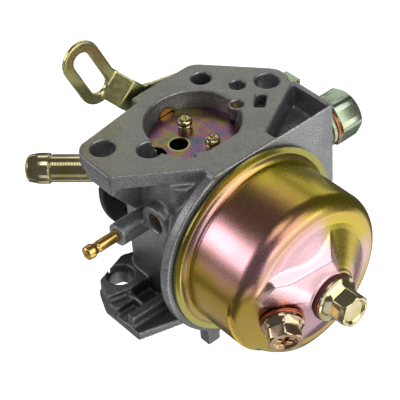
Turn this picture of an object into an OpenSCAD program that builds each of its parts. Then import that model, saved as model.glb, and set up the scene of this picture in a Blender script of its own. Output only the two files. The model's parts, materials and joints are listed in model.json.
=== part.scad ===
// Float-bowl carburetor for a small four-stroke engine.
// Origin: centre of the bore on the engine-side flange face.
// +Z runs up the bore to the air intake, +X points down the float bowl.

/* [Body] */
// Height from the engine-side face to the intake face
body_h = 62; // [60:0.5:64]
// Height of the bowl axis above the engine-side face
bowl_z = 29; // [28:0.5:30]
// Distance from the bore axis to the bowl joint face
joint_x = 25; // [24.5:0.25:25.5]
// Radius of the intake mouth
mouth_r = 15.3; // [14.5:0.1:15.6]
// Radius of the choke bore
choke_bore_r = 14.3; // [14:0.1:14.5]
// Radius of the venturi throat
throat_r = 10.2; // [9.5:0.1:10.5]
// Radius of the throttle bore
throttle_bore_r = 12; // [11.8:0.1:12.2]
// Radius of the two stud holes
stud_r = 4; // [3.8:0.1:4.2]

/* [Shafts] */
// Height of the choke shaft
choke_z = 55; // [54.5:0.25:55]
// Height of the throttle shaft
throttle_z = 12.5; // [12.5:0.25:13]
// Radius of both shafts
shaft_r = 3; // [2.8:0.1:3]
// Running clearance round the shafts and the float pin
run_gap = 0.05; // [0.03:0.01:0.08]

/* [Bowl] */
// Outer radius of the bowl rim
rim_r = 32.5; // [32:0.25:33]
// Outer radius of the bowl cup
cup_r = 28.6; // [28.3:0.1:28.8]
// Sheet thickness of the bowl
bowl_t = 1; // [0.8:0.1:1.2]
// Position where the shoulder of the bowl would end
bowl_end = 53.9; // [53.5:0.1:54.3]
// Position of the raised seat under the bowl bolt
seat_x = 61; // [60.5:0.25:61.5]
// Radius of the rounded shoulder of the bowl
shoulder_r = 6.5; // [6:0.25:7]

/* [Fuel] */
// Outer radius of the fuel inlet tube
inlet_r = 4.5; // [4.2:0.1:4.6]
// Outer radius of the vent nipple tube
vent_r = 1.9; // [1.7:0.1:2]
// Radius of the round plug-and-washer seat on the side
plug_seat_r = 7; // [6.5:0.25:7]

/* [Hidden] */
$fn = 48;
EPS = 0.01;

// stud, screw and passage places on the intake flange
stud_a = [-9.5, -28.1];
stud_c = [1.5, 30];
hole_b = [-14.7, 16.1];
hole_d = [-3.7, 22];
pilot_at = [3.5, 15.4];
jet_foot_r = 1.3;
lobe_at = [1.3, -18.4];
slot_at = [7.6, 21.6];

choke_y = 0.7;
mouth_z = 57;
cone_end = 43;
throat_hi = 33;
throat_lo = 27.5;
throttle_top = 24.6;
flange_t = 5;
tower_r = 6.5;
tower_end = 55;
ring_r = 34.5;
gasket_t = 0.6;
rim_back = joint_x + gasket_t;
float_pin_at = [28, 50];
needle_z = 43.5;
needle_boss_x = 25.4;
choke_lever_x = -26;
lever_t = 1.6;
arm_angle = 133;
arm_root = [0, 55.5];
eye_low = [-13.2, 67.2];
eye_top = [-18.2, 79];
throttle_lever_x = -28.6;
plug_at = [17.8, 48.4];
plug_y = 37;
bracket_t = 1.6;
idle_at = [-20.5, 12];
idle_tip_z = 19.4;
mix_at = [10, 41.8];
mix_end = -26;
vent_at = [1, 36.6];
vent_face = -34.5;
inlet_z = 46.5;
inlet_root = [-16, -22.3];
plate_screws = [-5, 8.4];
drain_n = [0.79, -0.56, -0.24];
drain_at = [55.2, -15.3, 25.5];
bolt_af = 10;

// ---- helpers ----
module along_x(x, y, z, len, r) {
    translate([x, y, z]) rotate([0, 90, 0]) cylinder(h = len, r = r);
}
module along_y(x, y, z, len, r) {
    translate([x, y, z]) rotate([-90, 0, 0]) cylinder(h = len, r = r);
}
module along_z(x, y, z, len, r) {
    translate([x, y, z]) cylinder(h = len, r = r);
}
// turns +Z onto the direction v
module aim(v) {
    rotate([0, acos(v[2] / norm(v)), atan2(v[1], v[0])]) children();
}
module hex_prism(af, h) {
    cylinder(h = h, r = af / sqrt(3), $fn = 6);
}
// points of an arc, from angle a0 to a1
function arc(c, r, a0, a1, n) =
    [for (i = [0:n]) c + r * [cos(a0 + (a1 - a0) * i / n), sin(a0 + (a1 - a0) * i / n)]];
// a revolved profile about the bowl axis: points are [radius, x]
module turned(points) {
    translate([0, 0, bowl_z]) rotate([0, 90, 0]) rotate_extrude($fn = 96) polygon(points);
}

// ---- coil springs ----
function coil_ring(c, dir, rad, wire, n) =
    [for (k = [0:n - 1]) c + wire * (cos(360 * k / n) * rad + sin(360 * k / n) * dir)];
module spring(r, wire, h, turns, per_turn = 14, sides = 6) {
    steps = turns * per_turn;
    rings = [for (i = [0:steps])
        let (a = 360 * i / per_turn)
        coil_ring([r * cos(a), r * sin(a), wire + (h - 2 * wire) * i / steps],
                  [0, 0, 1], [cos(a), sin(a), 0], wire, sides)];
    points = [for (ring = rings, p = ring) p];
    walls = [for (i = [0:steps - 1], k = [0:sides - 1])
        [i * sides + k, (i + 1) * sides + k,
         (i + 1) * sides + (k + 1) % sides, i * sides + (k + 1) % sides]];
    first = [[for (k = [0:sides - 1]) k]];
    last = [[for (k = [0:sides - 1]) steps * sides + sides - 1 - k]];
    polyhedron(points, concat(walls, first, last));
}

// ---- body casting ----
module intake_outline() {
    ear = 7;
    polygon(concat(
        [[joint_x, -12.9], [20, -12.9], [2.9, -35.7]],
        arc(stud_a, ear + 0.4, -90, -150, 5),
        [[-19.7, -6.7], [-22.5, -6.7], [-23.4, 8.6], [-22.6, 8.6]],
        arc([-17, 16.3], 6, 180, 128, 4),
        arc(stud_c, ear, 128, 55, 5),
        [[7.6, 33.2], [19.4, 10.8], [joint_x, 10.8]]
    ));
}
module engine_outline() {
    polygon(concat(
        [[16, 24], [16, -24], [11.8, -38.3], [-5.2, -38.5], [-13, -35]],
        arc([-14, -22], 3, 210, 150, 3),
        [[-16.6, 22]],
        arc([-8, 31], 8, 150, 60, 4),
        [[11, 38.2]]
    ));
}
// thin-walled triangular pocket beside the bowl joint
module pocket_shell() {
    translate([0, 0, 50]) linear_extrude(body_h - 50)
        polygon([[4, 30], [7.6, 36.2], [joint_x, 36.2], [joint_x, 8], [18, 8]]);
}
module pocket_space() {
    translate([0, 0, 53]) linear_extrude(20)
        polygon([[8.4, 34.7], [joint_x - 0.4, 34.7], [joint_x - 0.4, 12.4], [20.3, 12.4]]);
}
// the flat-sided part of the casting round the bore
module core_block() {
    translate([0, 0, 3]) linear_extrude(body_h - flange_t - 3) polygon(concat(
        arc([-8, -16], 6, 180, 270, 4),
        arc([14, -16], 6, 270, 300, 2),
        [[joint_x - 6, -19], [joint_x - 6, 19]],
        arc([14, 16], 6, 60, 90, 2),
        arc([-8, 16], 6, 90, 180, 4)
    ));
    along_z(0, 0, 0, body_h, 19);
}
module joint_ring() {
    difference() {
        turned([[0, 8], [23, 8], [31.5, 20.5], [ring_r, 21.5], [ring_r, joint_x], [0, joint_x]]);
        // the intake face cuts the ring flush
        translate([0, -40, body_h]) cube([40, 80, 10]);
    }
    // square corner of the joint face beside the pocket
    translate([20.5, 8, bowl_z + 1]) cube([joint_x - 20.5, 28.2, body_h - bowl_z - 1]);
    // cast lug under the ring
    translate([20.5, -20.5, -5.5]) cube([joint_x - 20.5, 5, 8]);
}
module engine_ribs() {
    // pad round the near stud
    linear_extrude(8) polygon(concat(
        [[-4.3, -37.6], [-12.4, -34.6]],
        arc([-13.6, -22], 3, 200, 150, 3),
        [[-14, -14], [-2, -14], [-2, -29]]
    ));
    translate([-5, -37.8, 0]) cube([5.4, 9, 5.6]);
    translate([5.4, -37.4, 0]) cube([3, 20, 7]);
    translate([-2.5, -31, 0]) cube([9, 1.4, 6.4]);
    // pad round the far stud
    along_z(stud_c[0], stud_c[1], 0, 8, 7.4);
    translate([-14, 14, 0]) cube([3, 20, 7]);
    translate([8, 14, 0]) cube([3, 22, 6]);
}
module side_bosses() {
    // choke shaft boss and throttle shaft boss, lever side
    along_x(-23.5, choke_y, choke_z - 1, 12, 5);
    along_x(-23, 0, throttle_z, 12, 6);
    // throttle shaft boss, bowl side
    along_x(10, 0, throttle_z, 8.5, 5.5);
    // hexagon well of the mixture screw
    along_y(mix_at[0], mix_end, mix_at[1], 14, 6);
    // vent nipple boss
    along_y(vent_at[0], vent_face, vent_at[1], 20, 3.9);
    // fuel inlet boss
    translate([inlet_root[0] + 8, inlet_root[1] + 8, inlet_z]) aim([-1, -1, 0])
        cylinder(h = 12, r = 6);
    // hexagon plug boss
    along_y(plug_at[0], 12, plug_at[1], plug_y - 12, plug_seat_r);
    // boss behind the blind screw hole of the intake face
    along_z(hole_b[0], hole_b[1], body_h - 14, 10, 5.2);
    // idle speed screw boss
    translate([-23.5, idle_at[1] - 3.5, 24]) cube([14, 7, 6]);
    // web under the ear of the near stud
    hull() {
        translate([-12, -34, body_h - 9.5]) cube([13, 3, 5]);
        translate([-14, -20, 34]) cube([12, 6, 4]);
        translate([-12, -18, body_h - 7]) cube([15, 3, 4]);
    }
}
module bore_space() {
    along_z(0, 0, -1, throttle_top + 1, throttle_bore_r);
    translate([0, 0, throttle_top - EPS])
        cylinder(h = throat_lo - throttle_top + 2 * EPS, r1 = throttle_bore_r, r2 = throat_r);
    along_z(0, 0, throat_lo - EPS, throat_hi - throat_lo + 2 * EPS, throat_r);
    translate([0, 0, throat_hi])
        cylinder(h = cone_end - throat_hi, r1 = throat_r, r2 = choke_bore_r);
    along_z(0, 0, cone_end - EPS, mouth_z - cone_end + 2 * EPS, choke_bore_r);
    // wider mouth with a flat on the bowl side, and the rib of the pilot jet
    difference() {
        union() {
            translate([0, 0, mouth_z])
                cylinder(h = body_h - 1 - mouth_z, r1 = choke_bore_r, r2 = mouth_r);
            along_z(0, 0, body_h - 1 - EPS, 20, mouth_r);
            intersection() {
                along_z(0, 0, mouth_z, 20, mouth_r + 2.1);
                translate([0, -30, 0]) cube([30, 20, 100]);
            }
        }
        translate([14.2, -20, 0]) cube([20, 40, 100]);
        along_z(pilot_at[0], pilot_at[1], 0, 100, 2.9);
    }
    along_z(lobe_at[0], lobe_at[1], body_h - 12, 20, 3.9);
}
module body_holes() {
    along_z(stud_a[0], stud_a[1], -1, 80, stud_r);
    along_z(stud_a[0], stud_a[1], 6, 40, stud_r + 0.6);
    along_z(stud_c[0], stud_c[1], -1, 80, stud_r);
    along_z(hole_b[0], hole_b[1], body_h - 12, 20, 3.25);
    along_z(hole_d[0], hole_d[1], body_h - 15, 20, 2.5);
    along_z(pilot_at[0], pilot_at[1], body_h - 14, 20, jet_foot_r + 0.05);
    along_z(pilot_at[0], pilot_at[1], mouth_z, 20, 2.05);
    translate([slot_at[0], slot_at[1], body_h - 8]) rotate([0, 0, 131])
        translate([-3.2, -1.65, 0]) cube([6.4, 3.3, 20]);
    // shaft bores: through the lever side, blind on the other
    along_x(-30, choke_y, choke_z, 47.5, shaft_r + run_gap);
    along_x(-30, 0, throttle_z, 46, shaft_r + run_gap);
    // hexagon well, tapped hole and seat of the mixture screw
    translate([mix_at[0], mix_end - 1, mix_at[1]]) rotate([-90, 0, 0]) hex_prism(6.4, 9);
    along_y(mix_at[0], mix_end, mix_at[1], 15, 1.55);
    // vent nipple, fuel inlet, hexagon plug, idle screw
    along_y(vent_at[0], vent_face - 1, vent_at[1], 16, vent_r);
    translate([inlet_root[0] + 5, inlet_root[1] + 5, inlet_z]) aim([-1, -1, 0])
        cylinder(h = 30, r = inlet_r);
    along_y(plug_at[0], 24, plug_at[1], 20, 4);
    along_z(idle_at[0], idle_at[1], 10, 30, 1.5);
    // drillings closed by the passage plugs
    along_z(-12.5, -8, -1, 3.8, 0.85);
    along_x(-20, -8, 30, 5.4, 1.65);
}
module float_chamber() {
    difference() {
        turned([[0, 17.2], [25, 17.2], [27, 19], [27, joint_x + 1], [0, joint_x + 1]]);
        along_x(10, 0, bowl_z, 30, tower_r);
        along_x(10, 0, needle_z, 30, 3.6);
        for (s = [-1, 1]) translate([10, s * 8.5 - 1.5, float_pin_at[1] - 2]) cube([30, 3, 4.4]);
    }
}
module carb_body() color("#8b8d8f") difference() {
    union() {
        core_block();
        joint_ring();
        translate([0, 0, body_h - flange_t]) linear_extrude(flange_t) intake_outline();
        linear_extrude(3) engine_outline();
        engine_ribs();
        pocket_shell();
        side_bosses();
        // ears stand full height at the two stud holes
        along_z(stud_a[0], stud_a[1], body_h - 9.5, 9.5, 6.2);
        along_z(stud_c[0], stud_c[1], body_h - 9.5, 9.5, 6.2);
        // main nozzle tower and the posts of the float pin
        along_x(12, 0, bowl_z, tower_end - 12, tower_r);
        along_x(16, 0, needle_z, needle_boss_x - 16, 3.6);
        for (s = [-1, 1]) translate([16, s * 8.5 - 1.5, float_pin_at[1] - 2])
            cube([float_pin_at[0] - 16 + 2, 3, 4.4]);
    }
    bore_space();
    body_holes();
    pocket_space();
    float_chamber();
    // tower bores: nozzle, main jet, bolt thread and fuel holes
    along_x(5, 0, bowl_z, 37, 2.05);
    along_x(41, 0, bowl_z, 20, 3);
    along_y(46.5, -10, bowl_z, 20, 1);
    // needle seat bore and float pin hole
    along_x(14.2, 0, needle_z, 20, 2.3);
    along_y(float_pin_at[0], -12, float_pin_at[1], 24, 1);
}

// ---- bowl ----
// every outline is the outer one moved inwards by t
function bowl_profile(t) = concat(
    [[0, rim_back - (t > 0 ? 1 : 0)], [cup_r + 1.2 - t, rim_back - (t > 0 ? 1 : 0)]],
    t > 0 ? [] : [[rim_r, rim_back], [rim_r, rim_back + 1], [30.4, rim_back + 1]],
    [[29.8 - t, rim_back + 1.9 + t / 2], [cup_r + 0.2 - t, rim_back + 2.6 + t / 2],
     [cup_r - t, rim_back + 3.4]],
    arc([cup_r - shoulder_r, bowl_end - shoulder_r], shoulder_r - t, 0, 64, 8),
    [[17.3, 56.3 - t], [9.4, 60.6 - t], [0, 60.6 - t]]
);
// everything outside the flat facet that the drain bolt sits on
module drain_flat(t) {
    translate(drain_at - t * drain_n) aim(drain_n) translate([-60, -60, 0]) cube(120);
}
module bowl_ridge() {
    // pressed wedge that climbs from the shoulder to the bolt seat
    polyhedron(
        [[53.6, -23.2, 40.4], [seat_x, -8, 32.4], [seat_x - 0.4, 7, 33.3], [57.6, 2.5, 45.4],
         [50, -20, 38], [50, -7, 31], [50, 6, 32], [50, 2, 42]],
        [[3, 2, 1, 0], [5, 6, 7, 4], [1, 5, 4, 0], [2, 6, 5, 1], [3, 7, 6, 2], [0, 4, 7, 3]]
    );
}
module float_bowl() color("#c9a23c") difference() {
    union() {
        difference() {
            union() {
                turned(bowl_profile(0));
                bowl_ridge();
            }
            drain_flat(0);
        }
        along_x(seat_x - 8, 0, bowl_z, 8, 8.6);
    }
    difference() {
        turned(bowl_profile(bowl_t));
        drain_flat(bowl_t);
    }
    along_x(40, 0, bowl_z, seat_x - 1.6 - 40, 7.2);
    along_x(40, 0, bowl_z, 30, 3.2);
    translate(drain_at) aim(drain_n) translate([0, 0, -6]) cylinder(h = 12, r = 3.1);
}
module bowl_gasket() color("#1c1c1c")
    turned([[28.2, joint_x], [31.6, joint_x], [31.6, rim_back], [28.2, rim_back]]);

// flanged hexagon bolt along +Z, from its seat; the shank runs down
module flange_bolt(flange_r, head_h, shank_r, shank_len, dish) {
    difference() {
        union() {
            cylinder(h = 1.4, r = flange_r);
            translate([0, 0, 1.4]) cylinder(h = 0.9, r1 = flange_r, r2 = bolt_af / 2 + 0.4);
            intersection() {
                hex_prism(bolt_af, head_h);
                cylinder(h = head_h, r1 = head_h + 5.1, r2 = 5.1);
            }
            translate([0, 0, -shank_len]) cylinder(h = shank_len, r = shank_r);
        }
        translate([0, 0, head_h - 0.9]) cylinder(h = 2, r1 = dish - 0.6, r2 = dish + 0.6);
    }
}
module bowl_bolt() color("#c9b458") translate([seat_x + 1.2, 0, bowl_z]) rotate([0, 90, 0])
    flange_bolt(7.6, 8.8, 3, 12.6, 3.9);
module bowl_bolt_washer() color("#5a2018") difference() {
    along_x(seat_x, 0, bowl_z, 1.2, 8.1);
    along_x(seat_x - 1, 0, bowl_z, 4, 3.15);
}
module drain_bolt() color("#a8864a") translate(drain_at) aim(drain_n) translate([0, 0, 1.2])
    difference() {
        flange_bolt(6.6, 7, 3, 7, 3.4);
        for (a = [0, 90]) rotate([0, 0, a]) translate([-2.6, -0.5, 4]) cube([5.2, 1, 8]);
    }
module drain_washer() color("#9a4a2c") translate(drain_at) aim(drain_n) difference() {
    cylinder(h = 1.2, r = 6.9);
    translate([0, 0, -1]) cylinder(h = 4, r = 3.15);
}

// ---- jets and float ----
module main_jet() color("#b98d2f") difference() {
    along_x(42.2, 0, bowl_z, 3.4, 3);
    along_x(40, 0, bowl_z, 9, 0.5);
    translate([44.8, -4, bowl_z - 0.4]) cube([2, 8, 0.8]);
}
module emulsion_tube() color("#b98d2f") difference() {
    along_x(8.2, 0, bowl_z, 33.6, 2);
    along_x(7, 0, bowl_z, 40, 1.1);
    for (x = [20:4:36]) along_y(x, -5, bowl_z, 10, 0.4);
}
module float() color("#2b2b2e") difference() {
    union() {
        difference() {
            along_x(31.5, 0, bowl_z, 11, 23.3);
            along_x(30, 0, bowl_z, 20, 11);
            translate([30, -30, 45.4]) cube([20, 60, 20]);
        }
        for (s = [-1, 1]) translate([27, s * 5 - 1.2, 43]) cube([6, 2.4, 7]);
        along_y(float_pin_at[0], -6.8, float_pin_at[1], 13.6, 1.9);
        // tab that bears on the needle
        translate([28.2, -6, 41.4]) cube([1.2, 12, 8.6]);
        translate([28.2, -6, 41.4]) cube([4, 12, 2]);
    }
    along_y(float_pin_at[0], -12, float_pin_at[1], 24, 1 + run_gap);
}
module float_pin() color("#b9bcc0")
    along_y(float_pin_at[0], -10.4, float_pin_at[1], 20.8, 1);
module needle_valve() color("#c9a23c") difference() {
    union() {
        along_x(17.5, 0, needle_z, 10, 1.9);
        along_x(27, 0, needle_z, 1.1, 0.6);
        translate([15.6, 0, needle_z]) rotate([0, 90, 0]) cylinder(h = 1.9, r1 = 0.4, r2 = 1.9);
    }
    // three flats let the fuel past
    for (a = [0, 120, 240]) translate([19.4, 0, needle_z]) rotate([a, 0, 0])
        translate([0, -3, 1.5]) cube([7.6, 6, 2]);
}
module needle_seat() color("#b98d2f") difference() {
    along_x(14.2, 0, needle_z, 11.2, 2.3);
    along_x(17, 0, needle_z, 12, 1.9 + run_gap);
    translate([15.8, 0, needle_z]) rotate([0, 90, 0]) cylinder(h = 1.3, r1 = 0.7, r2 = 1.95);
    along_x(14, 0, needle_z, 4, 0.7);
}

// ---- butterflies ----
// two-sided drive for a lever, from x over len
module shaft_drive(x, y, z, len, gap) {
    intersection() {
        along_x(x, y, z, len, shaft_r + gap);
        translate([x, y - 2.2 - gap, z - 5]) cube([len, 4.4 + 2 * gap, 10]);
    }
}
// round shaft along X with a flat for its plate on the upper half and a drive for its lever
module plate_shaft(y, z, x0, drive, x1, flat, screws) {
    difference() {
        union() {
            along_x(x0, y, z, drive[0] - x0 + 1, 2.15);
            shaft_drive(drive[0], y, z, drive[1] - drive[0] + 1, 0);
            along_x(drive[1], y, z, x1 - drive[1], shaft_r);
        }
        translate([-flat, y - 5, z]) cube([2 * flat, 10, 5]);
        for (x = screws) along_z(x, y, z - 5, 10, 1.3);
    }
}
module pan_screw(head_r, head_h, shank_r, len) {
    difference() {
        union() {
            intersection() {
                cylinder(h = head_h, r = head_r);
                translate([0, 0, head_h - head_r * 1.5]) sphere(r = head_r * 1.5);
            }
            translate([0, 0, -len]) cylinder(h = len + EPS, r = shank_r);
        }
        for (a = [0, 90]) rotate([0, 0, a])
            translate([-head_r * 0.62, -0.42, head_h - 1.1]) cube([head_r * 1.24, 0.84, 3]);
    }
}
module choke_shaft() color("#b3823c") 
    plate_shaft(choke_y, choke_z, -28.2, [choke_lever_x, choke_lever_x + lever_t],
                16.8, choke_bore_r, plate_screws);
module choke_plate() color("#9a8fa8") difference() {
    along_z(0, 0, choke_z, 1, choke_bore_r - 0.15);
    along_z(-0.2, -6, choke_z - 1, 4, 2.95);
    for (x = plate_screws) along_z(x, choke_y, choke_z - 1, 4, 1.45);
    // notch over the side passage
    along_z(-1.5, -15.1, choke_z - 1, 4, 4.1);
}
module choke_screws() color("#cfc08a")
    for (x = plate_screws) translate([x, choke_y, choke_z + 2.8]) pan_screw(2.4, 2, 1.3, 5);
module choke_screw_washers() color("#c9a85a") for (x = plate_screws) difference() {
    along_z(x, choke_y, choke_z + 1, 1.8, 2.3);
    along_z(x, choke_y, choke_z, 4, 1.4);
}
// slot-shaped outline of the eye of the choke lever, drawn in Y and Z
module eye_outline(r) {
    polygon(concat(arc(eye_top, r, 23, 203, 14), arc(eye_low, r, 203, 383, 14)));
}
// a flat sheet in the YZ plane, from x to x + t
module yz_sheet(x, t) {
    translate([x, 0, 0]) rotate([90, 0, 90]) linear_extrude(t) children();
}
module choke_lever() color("#b8a84a") difference() {
    union() {
        yz_sheet(choke_lever_x, lever_t) {
            translate([choke_y, choke_z]) circle(r = 7);
            translate(arm_root) rotate(arm_angle) translate([0, -5]) square([9.5, 10]);
            polygon([[0, choke_z + 6.9], [0, choke_z - 3], [13, choke_z - 1], [15.4, choke_z + 1],
                     [15.4, choke_z + 4], [8, choke_z + 5.4]]);
        }
        yz_sheet(choke_lever_x - 5, lever_t) {
            eye_outline(6.9);
            translate(arm_root) rotate(arm_angle) translate([13, -5]) square([5, 10]);
        }
        // double bend that carries the eye outwards
        translate([0, arm_root[0], arm_root[1]]) rotate([arm_angle, 0, 0]) translate([0, 0, -4.9])
            linear_extrude(9.8) polygon([
                [choke_lever_x + 0.1, 8], [choke_lever_x + 0.1, 9], [choke_lever_x - 4.9, 14],
                [choke_lever_x - 4.9, 15.4], [choke_lever_x + lever_t - 5.1, 15.4],
                [choke_lever_x + lever_t - 5.1, 14.5], [choke_lever_x + lever_t - 0.1, 9.5],
                [choke_lever_x + lever_t - 0.1, 8]]);
    }
    yz_sheet(choke_lever_x - 8, 6) eye_outline(3.1);
    shaft_drive(choke_lever_x - 8, choke_y, choke_z, 20, 0.05);
}
module choke_seal() color("#2a2a2a") difference() {
    along_x(-24.3, choke_y, choke_z, 0.8, 5);
    along_x(-26, choke_y, choke_z, 6, shaft_r + 0.3);
}
module throttle_shaft() color("#b9bcc0") 
    plate_shaft(0, throttle_z, -32.4, [throttle_lever_x, throttle_lever_x + 3],
                15.8, throttle_bore_r, [-6, 6]);
module throttle_plate() color("#c8b070") difference() {
    along_z(0, 0, throttle_z, 1, throttle_bore_r - 0.12);
    for (s = [-1, 1]) along_z(s * 6, 0, throttle_z - 1, 4, 1.45);
}
module throttle_screws() color("#cfc08a")
    for (s = [-1, 1]) translate([s * 6, 0, throttle_z + 1]) pan_screw(2.5, 1.7, 1.3, 4);
module throttle_lever() color("#1b1b1d") difference() {
    union() {
        yz_sheet(throttle_lever_x, 3) {
            translate([0, throttle_z]) circle(r = 7.5);
            // broad fan with a curved edge
            polygon(concat(
                arc([2.7, 25.2], 22.8, 170, 214, 8),
                [[-5, throttle_z - 6], [5, throttle_z], [-8, 30]]
            ));
            // short arm under the idle screw
            polygon([[0, throttle_z + 7], [0, throttle_z - 6], [13, throttle_z - 1],
                     [15, throttle_z + 2], [15, idle_tip_z - 0.6], [8, idle_tip_z - 0.6]]);
        }
        // tab that the idle screw stops
        translate([throttle_lever_x + 2, idle_at[1] - 3, idle_tip_z - 3.4]) cube([8, 6, 2.8]);
    }
    shaft_drive(-40, 0, throttle_z, 30, 0.05);
    // governor link holes
    for (p = [[-15, 24], [-11, 17]]) along_x(-40, p[0], p[1], 30, 1.2);
}
module throttle_lever_nut() color("#b9bcc0") difference() {
    translate([throttle_lever_x - 2.4, 0, throttle_z]) rotate([0, 90, 0]) hex_prism(8, 2.4);
    along_x(-40, 0, throttle_z, 30, 2.2);
}
module throttle_seal() color("#2a2a2a") difference() {
    along_x(-25.2, 0, throttle_z, 2.2, 6);
    along_x(-26, 0, throttle_z, 6, shaft_r + 0.3);
}

// ---- screws, springs and fittings ----
module pilot_jet() color("#b98d2f") difference() {
    union() {
        along_z(pilot_at[0], pilot_at[1], body_h - 14, 8, jet_foot_r);
        along_z(pilot_at[0], pilot_at[1], mouth_z + 0.1, 2.5, 2);
    }
    along_z(pilot_at[0], pilot_at[1], body_h - 20, 30, 0.5);
    translate([pilot_at[0] - 3, pilot_at[1] - 0.35, body_h - 3.4]) cube([6, 0.7, 4]);
}
module mixture_screw() color("#b98d2f") translate([mix_at[0], 0, mix_at[1]])
    rotate([-90, 0, 0]) difference() {
        union() {
            translate([0, 0, mix_end + 3.6]) cylinder(h = 2, r = 2.6);
            translate([0, 0, mix_end + 5.6 - EPS]) cylinder(h = 6.4, r = 1.45);
            translate([0, 0, mix_end + 12 - 2 * EPS]) cylinder(h = 2.4, r1 = 1.45, r2 = 0.2);
        }
        translate([-4, -0.4, mix_end + 3]) cube([8, 0.8, 1.4]);
    }
module mixture_spring() color("#c8ccd0") translate([mix_at[0], mix_end + 5.65, mix_at[1]])
    rotate([-90, 0, 0]) spring(2, 0.3, 2.3, 2);
module idle_screw() color("#cfc08a") translate([idle_at[0], idle_at[1], 0]) difference() {
    union() {
        along_z(0, 0, idle_tip_z, 18.6, 1.45);
        along_z(0, 0, 37, 3.4, 3);
    }
    translate([-4, -0.4, 39.2]) cube([8, 0.8, 3]);
}
module idle_spring() color("#c8ccd0") translate([idle_at[0], idle_at[1], 30.05])
    spring(2.1, 0.3, 6.9, 5);
// hose stub along +Z with a barbed head
module hose_stub(r, barb, len, bore) {
    difference() {
        rotate_extrude() polygon([
            [0, 0], [r, 0], [r, len - barb * 1.9], [barb, len - barb * 1.8],
            [barb, len - barb * 0.9], [barb * 0.76, len], [0, len]]);
        translate([0, 0, -1]) cylinder(h = len + 2, r = bore);
    }
}
module fuel_inlet() color("#b8a24a")
    translate([inlet_root[0] + 5, inlet_root[1] + 5, inlet_z]) aim([-1, -1, 0])
        hose_stub(inlet_r, inlet_r + 0.45, 33.6, 2.4);
module vent_nipple() color("#c9962f")
    translate([vent_at[0], vent_face + 8, vent_at[1]]) rotate([90, 0, 0])
        hose_stub(vent_r, vent_r + 0.45, 20, 0.8);
module hex_plug() color("#b9c49a") translate([plug_at[0], 0, plug_at[1]]) rotate([-90, 0, 0]) {
    head_y = plug_y + bracket_t + 1.2;
    intersection() {
        translate([0, 0, head_y]) rotate([0, 0, 22]) hex_prism(15, 9.4);
        translate([0, 0, head_y]) cylinder(h = 9.4, r1 = 7.7 + 9.4, r2 = 7.7);
    }
    translate([0, 0, head_y - 12]) cylinder(h = 12 + EPS, r = 4);
}
module plug_washer() color("#b5562e") difference() {
    along_y(plug_at[0], plug_y + bracket_t, plug_at[1], 1.2, 7.6);
    along_y(plug_at[0], plug_y - 1, plug_at[1], 10, 4.1);
}
module plug_bracket() color("#b9b98a") difference() {
    union() {
        translate([0, plug_y + bracket_t, 0]) rotate([90, 0, 0]) linear_extrude(bracket_t)
            polygon(concat(
                arc(plug_at, 7.4, -120, 40, 8),
                [[plug_at[0] + 3, 59.4], [-0.5, 59.4], [-0.5, 53], [7, 51]]));
        // folded ear at the far end
        translate([-0.5, plug_y, 52]) cube([6.5, 3.4, 7.4]);
    }
    along_y(plug_at[0], plug_y - 5, plug_at[1], 20, 4.1);
}
module passage_plugs() color("#b98d2f") {
    along_z(-12.5, -8, 0.2, 2.6, 0.8);
    along_x(-17.6, -8, 30, 3, 1.6);
}

carb_body();
float_bowl();
bowl_gasket();
bowl_bolt();
bowl_bolt_washer();
drain_bolt();
drain_washer();
main_jet();
emulsion_tube();
float();
float_pin();
needle_valve();
needle_seat();
choke_shaft();
choke_plate();
choke_screws();
choke_screw_washers();
choke_lever();
choke_seal();
throttle_shaft();
throttle_plate();
throttle_screws();
throttle_lever();
throttle_lever_nut();
throttle_seal();
pilot_jet();
mixture_screw();
mixture_spring();
idle_screw();
idle_spring();
fuel_inlet();
vent_nipple();
hex_plug();
plug_washer();
plug_bracket();
passage_plugs();
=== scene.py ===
"""Looks for the float-bowl carburetor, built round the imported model.

The sections are: node materials, mesh helpers, one function per group of detailed pieces, then the
floor, lights and camera. Points and radii are in millimetres until place() or write_points() turns
them into metres. Material distances are in metres unless a comment says otherwise.
"""
import json
import math

import bpy
import numpy as np
from mathutils import Matrix, Vector

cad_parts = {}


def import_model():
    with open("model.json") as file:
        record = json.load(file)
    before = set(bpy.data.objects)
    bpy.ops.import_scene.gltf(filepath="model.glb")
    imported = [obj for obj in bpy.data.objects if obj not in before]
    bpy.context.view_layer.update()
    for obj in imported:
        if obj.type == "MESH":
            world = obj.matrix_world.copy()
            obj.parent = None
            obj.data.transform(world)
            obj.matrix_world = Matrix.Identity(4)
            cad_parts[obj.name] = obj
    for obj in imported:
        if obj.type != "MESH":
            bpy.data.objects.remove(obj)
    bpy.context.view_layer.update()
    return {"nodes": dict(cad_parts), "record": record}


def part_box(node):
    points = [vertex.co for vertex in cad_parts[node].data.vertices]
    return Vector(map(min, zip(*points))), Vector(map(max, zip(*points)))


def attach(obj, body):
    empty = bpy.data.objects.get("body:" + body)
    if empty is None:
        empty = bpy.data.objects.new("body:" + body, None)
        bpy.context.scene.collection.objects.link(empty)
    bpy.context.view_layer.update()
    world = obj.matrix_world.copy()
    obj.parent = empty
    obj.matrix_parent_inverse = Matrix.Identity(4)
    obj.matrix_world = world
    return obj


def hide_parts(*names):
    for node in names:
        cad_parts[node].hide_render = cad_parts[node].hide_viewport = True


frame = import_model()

MM = 0.001
NODES = frame["nodes"]
SLOTS = {p["node"]: p["material_slot"] for p in frame["record"]["subparts"]}
BODY_OF = {n: body for body, members in frame["record"]["behaviour"]["bodies"].items() for n in members}


def box_mm(node):
    """The two corners of a CAD node's box, in millimetres."""
    return tuple(np.array(c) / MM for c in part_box(node))


# places in millimetres
BOWL_LO, BOWL_HI = box_mm("float_bowl")
BOWL_Z = (BOWL_LO[2] + BOWL_HI[2]) / 2  # height of the bowl's axis
JOINT_X = box_mm("bowl_gasket")[0][0]  # where the body meets the bowl's gasket
FACE_Z = 62.0  # height of the machined intake face

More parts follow.
